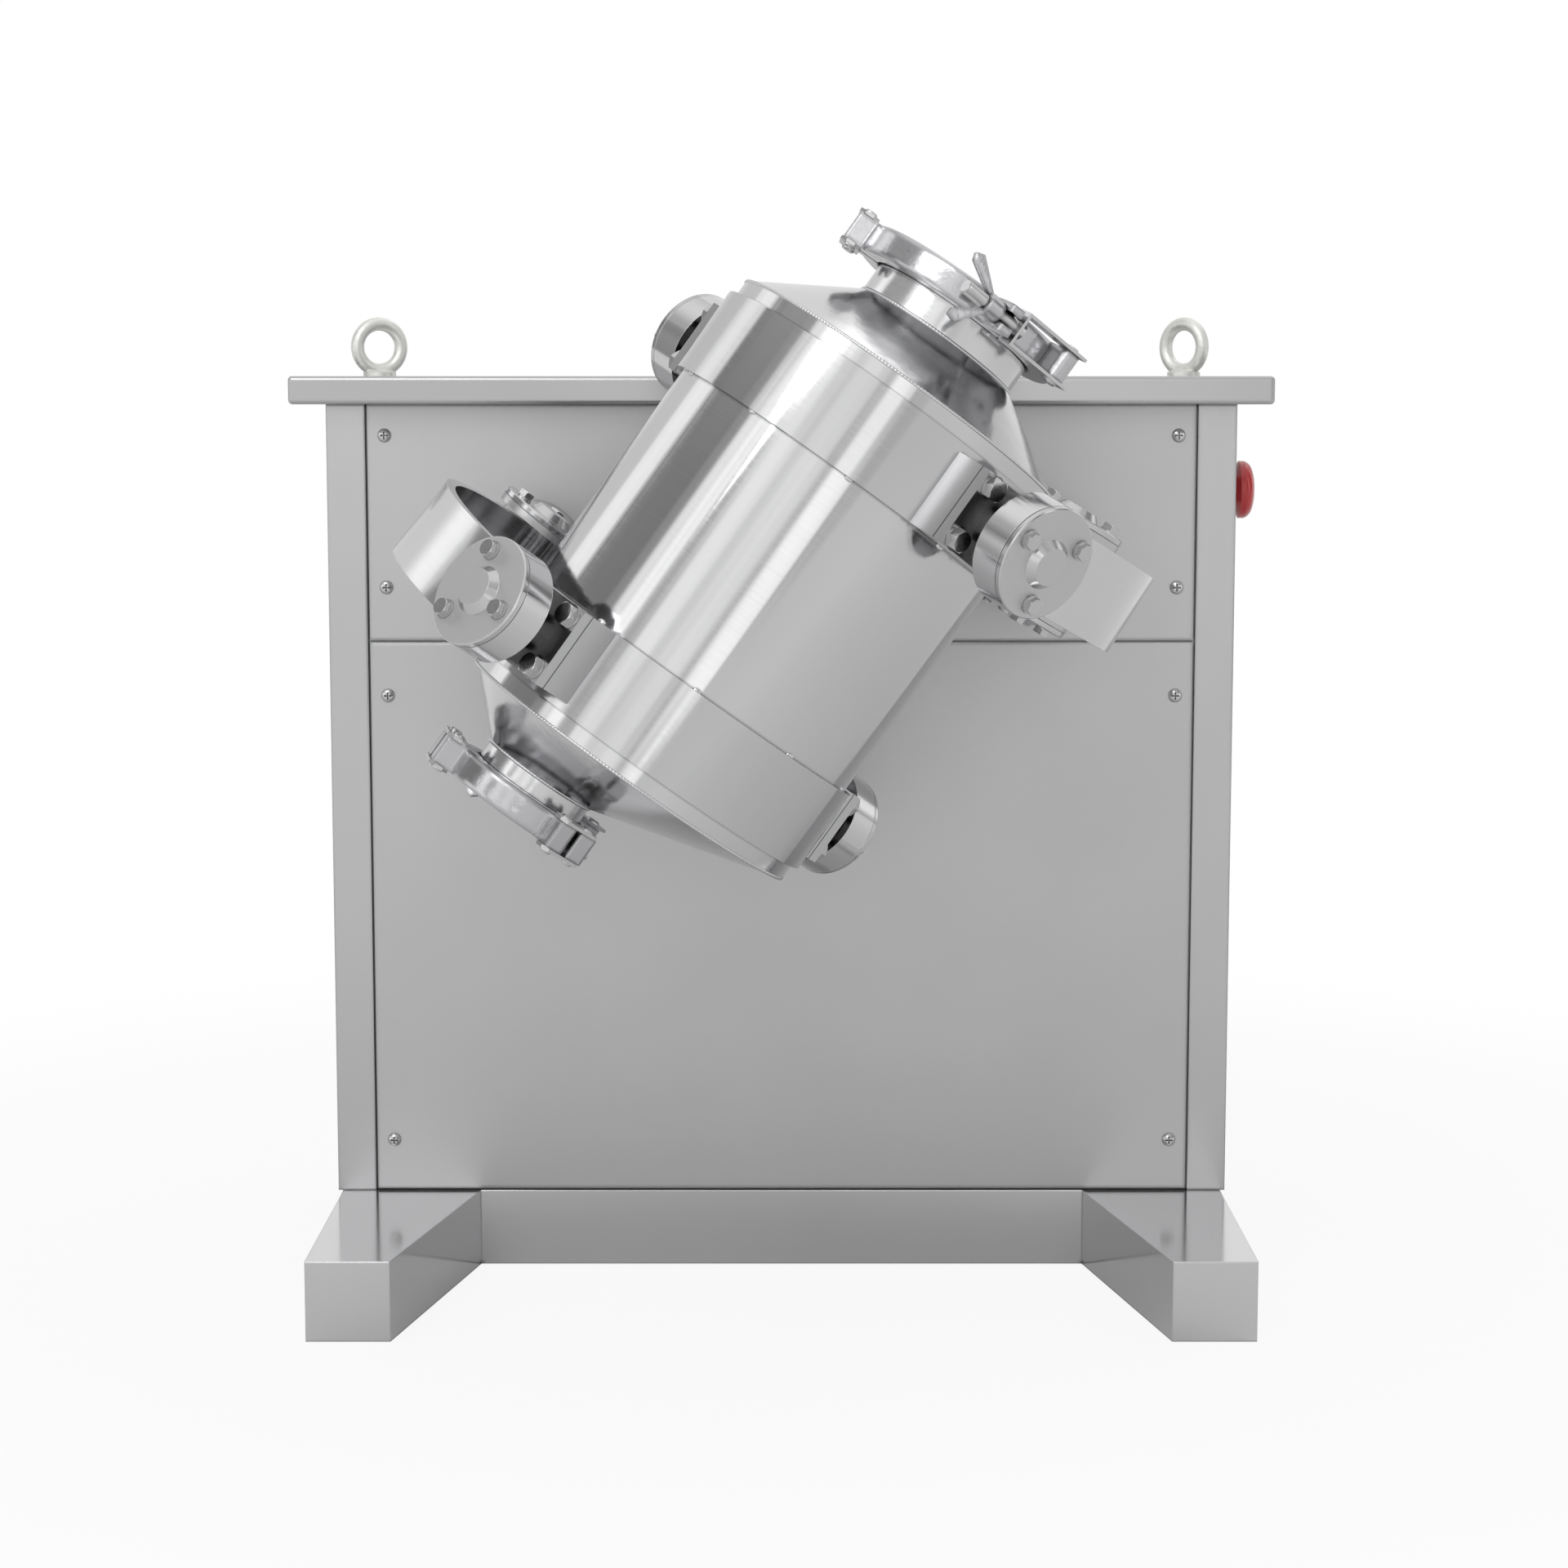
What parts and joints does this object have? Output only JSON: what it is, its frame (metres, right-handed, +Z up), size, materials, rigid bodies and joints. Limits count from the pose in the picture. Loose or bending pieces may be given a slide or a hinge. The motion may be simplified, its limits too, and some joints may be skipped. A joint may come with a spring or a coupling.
{
  "type": "three-dimensional motion mixer",
  "caption": "Floor-standing powder mixer: a conical-ended barrel slung between two stirrups and forks in front of a sheet-steel cabinet, tumbled by a closed linkage.",
  "frame": {"origin": "on the floor, under the middle of the cabinet's footprint", "axes": "+X to the operator's right, +Y from the barrel's side through the cabinet to its rear, +Z up"},
  "size_m": [0.7135, 0.7674, 0.7602],
  "materials": {
    "satin_steel": "satin blasted stainless sheet",
    "brushed_shell": "fine brushed stainless",
    "polished_steel": "polished stainless",
    "turned_steel": "turned stainless",
    "bolt_steel": "stainless fasteners",
    "plated_steel": "zinc plated",
    "bearing_steel": "ground bearing steel",
    "cast_eye": "galvanised casting",
    "shaft_steel": "ground shaft",
    "plate_steel": "grey primer",
    "motor_paint": "hammered enamel",
    "box_paint": "powder coat",
    "stop_red": "glossy red",
    "stop_body": "grey",
    "stop_stem": "black",
    "gland_plastic": "black",
    "gasket_rubber": "white silicone"
  },
  "bodies": {
    "cabinet": {"base_frame": "satin_steel", "cabinet_frame": "satin_steel", "top_slab": "satin_steel", "front_panel_upper": "satin_steel", "front_panel_lower": "satin_steel", "side_panel_left": "satin_steel", "side_panel_right": "satin_steel", "rear_panel": "satin_steel", "panel_screws": "bolt_steel", "lifting_eyes": "cast_eye", "stop_collar": "stop_body", "mounting_plate": "plate_steel", "bearing_housings": "plate_steel", "housing_bolts": "plated_steel", "shaft_bearings": "bearing_steel", "shaft_flanges": "turned_steel", "gearmotor": "motor_paint", "control_box": "box_paint", "cable_gland": "gland_plastic"},
    "stop_plunger": {"stop_plunger": "stop_stem"},
    "stop_head": {"stop_head": "stop_red"},
    "drive_fork": {"drive_shaft": "shaft_steel", "drive_fork": "turned_steel", "drive_fork_caps": "turned_steel", "drive_fork_bearings": "bearing_steel", "drive_fork_bolts": "bolt_steel"},
    "driven_fork": {"driven_shaft": "shaft_steel", "driven_fork": "turned_steel", "driven_fork_caps": "turned_steel", "driven_fork_bearings": "bearing_steel", "driven_fork_bolts": "bolt_steel"},
    "drive_stirrup": {"drive_stirrup": "polished_steel", "drive_pin": "shaft_steel", "drive_trunnion_bearings": "bearing_steel", "drive_trunnion_caps": "turned_steel", "drive_trunnion_bolts": "bolt_steel"},
    "driven_stirrup": {"driven_stirrup": "polished_steel", "driven_pin": "shaft_steel", "driven_trunnion_bearings": "bearing_steel", "driven_trunnion_caps": "turned_steel", "driven_trunnion_bolts": "bolt_steel"},
    "barrel": {"barrel_shell": "brushed_shell", "barrel_bands": "brushed_shell", "upper_cone": "polished_steel", "lower_cone": "polished_steel", "trunnion_pads": "turned_steel", "trunnion_plates": "turned_steel", "plate_bolts": "bolt_steel", "gaskets": "gasket_rubber", "upper_lid": "polished_steel", "lower_lid": "polished_steel", "upper_clamp": "polished_steel", "upper_clamp_links": "turned_steel", "lower_clamp": "polished_steel", "lower_clamp_links": "turned_steel"},
    "upper_swing_bolt": {"upper_swing_bolt": "turned_steel"},
    "upper_wing_nut": {"upper_wing_nut": "polished_steel"},
    "lower_swing_bolt": {"lower_swing_bolt": "turned_steel"},
    "lower_wing_nut": {"lower_wing_nut": "polished_steel"}
  },
  "joints": [
    {"name": "drive_shaft_turn", "type": "hinge", "parent": "cabinet", "child": "drive_fork", "pos_m": [0.18186, -0.283, 0.528], "axis": [0, 1, 0], "range_deg": [0, 20]},
    {"name": "drive_fork_pin", "type": "hinge", "parent": "drive_fork", "child": "drive_stirrup", "pos_m": [0.18186, -0.283, 0.528], "axis": [0.5249, 0, 0.8511], "range_deg": [0, 14.6]},
    {"name": "upper_trunnions", "type": "hinge", "parent": "drive_stirrup", "child": "barrel", "pos_m": [0.05012, -0.42491, 0.60926], "axis": [0.5752, -0.7371, -0.3547], "range_deg": [0, 24.17]},
    {"name": "driven_shaft_turn", "type": "hinge", "parent": "cabinet", "child": "driven_fork", "pos_m": [-0.18186, -0.283, 0.528], "axis": [0, 1, 0], "range_deg": [-17.27, 0]},
    {"name": "driven_fork_pin", "type": "hinge", "parent": "driven_fork", "child": "driven_stirrup", "pos_m": [-0.18186, -0.283, 0.528], "axis": [0.6297, 0, 0.7768], "range_deg": [0, 12.07]},
    {"name": "stop_push", "type": "slide", "parent": "cabinet", "child": "stop_plunger", "axis": [-1, 0, 0], "range_m": [0, 0.005]},
    {"name": "stop_twist", "type": "hinge", "parent": "stop_plunger", "child": "stop_head", "pos_m": [0.3285, 0, 0.569], "axis": [1, 0, 0], "range_deg": [0, 30]},
    {"name": "upper_bolt_swing", "type": "hinge", "parent": "barrel", "child": "upper_swing_bolt", "pos_m": [0.17403, -0.47048, 0.66081], "axis": [0.5821, 0.0641, 0.8106], "range_deg": [0, 80]},
    {"name": "upper_nut_turn", "type": "hinge", "parent": "upper_swing_bolt", "child": "upper_wing_nut", "pos_m": [0.13271, -0.49861, 0.69271], "axis": [0.6968, 0.4744, -0.5379], "range_deg": [0, 360]},
    {"name": "lower_bolt_swing", "type": "hinge", "parent": "barrel", "child": "lower_swing_bolt", "pos_m": [-0.1303, -0.3979, 0.35486], "axis": [-0.5821, -0.0641, -0.8106], "range_deg": [0, 80]},
    {"name": "lower_nut_turn", "type": "hinge", "parent": "lower_swing_bolt", "child": "lower_wing_nut", "pos_m": [-0.1692, -0.38023, 0.38139], "axis": [0.7734, -0.3514, -0.5276], "range_deg": [0, 360]}
  ],
  "couplings": [
    {"joint": "drive_fork_pin", "follows": "drive_shaft_turn", "ratio": 0.7274},
    {"joint": "upper_trunnions", "follows": "drive_shaft_turn", "ratio": 1.2058},
    {"joint": "driven_shaft_turn", "follows": "drive_shaft_turn", "ratio": -0.8609},
    {"joint": "driven_fork_pin", "follows": "drive_shaft_turn", "ratio": 0.6008}
  ]
}
